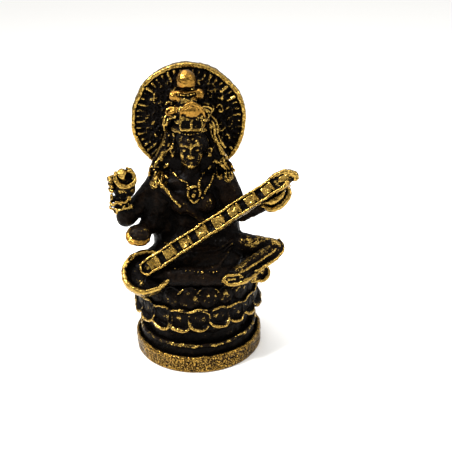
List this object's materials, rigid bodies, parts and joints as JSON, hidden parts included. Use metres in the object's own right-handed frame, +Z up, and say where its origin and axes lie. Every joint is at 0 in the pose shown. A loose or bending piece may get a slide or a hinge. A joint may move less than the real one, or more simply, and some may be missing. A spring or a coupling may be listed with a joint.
{
  "type": "hindu deity statue",
  "caption": "Small cast brass figure of a seated goddess playing a veena, on a round lotus pedestal with a halo behind her head.",
  "frame": {"origin": "centre of the pedestal's flat underside", "axes": "+Z up, the figure faces -Y, its right hand is on -X"},
  "size_m": [0.0292, 0.0207, 0.045],
  "materials": {
    "polished_brass": "yellow brass rubbed bright on the raised surfaces, with fine dark casting pits",
    "patinated_brass": "brass with a near-black brown antiquing patina left in the hollows"
  },
  "bodies": {
    "root": {"crown_band": "patinated_brass", "crown_finial": "polished_brass", "crown_left_boss": "polished_brass", "crown_medallion": "polished_brass", "crown_right_boss": "polished_brass", "crown_roll": "polished_brass", "crown_tier": "patinated_brass", "hair": "patinated_brass", "halo_disc": "patinated_brass", "halo_rim": "polished_brass", "head": "patinated_brass", "hips": "patinated_brass", "left_earring": "polished_brass", "left_foot": "polished_brass", "left_forearm": "patinated_brass", "left_hair_lock": "patinated_brass", "left_hand": "polished_brass", "left_shin": "patinated_brass", "left_shoulder_ornament": "polished_brass", "left_thigh": "patinated_brass", "left_upper_arm": "patinated_brass", "lotus_bud": "polished_brass", "lotus_lower_petals": "patinated_brass", "lotus_seat": "patinated_brass", "lotus_upper_petals": "patinated_brass", "lotus_waist": "patinated_brass", "neck": "patinated_brass", "necklace_left": "polished_brass", "necklace_right": "polished_brass", "pendant": "polished_brass", "plinth": "polished_brass", "plinth_ring": "patinated_brass", "right_earring": "polished_brass", "right_foot": "polished_brass", "right_front_forearm": "patinated_brass", "right_front_hand": "polished_brass", "right_front_upper_arm": "patinated_brass", "right_hair_lock": "patinated_brass", "right_rear_forearm": "patinated_brass", "right_rear_hand": "polished_brass", "right_rear_upper_arm": "patinated_brass", "right_shin": "patinated_brass", "right_shoulder_ornament": "polished_brass", "right_thigh": "patinated_brass", "rosary": "polished_brass", "sari_lap": "patinated_brass", "torso": "patinated_brass", "veena_fret_1": "polished_brass", "veena_fret_2": "polished_brass", "veena_fret_3": "polished_brass", "veena_fret_4": "polished_brass", "veena_fret_5": "polished_brass", "veena_fret_6": "polished_brass", "veena_fret_7": "polished_brass", "veena_fret_8": "polished_brass", "veena_gourd": "polished_brass", "veena_head": "polished_brass", "veena_neck": "polished_brass"}
  },
  "joints": []
}
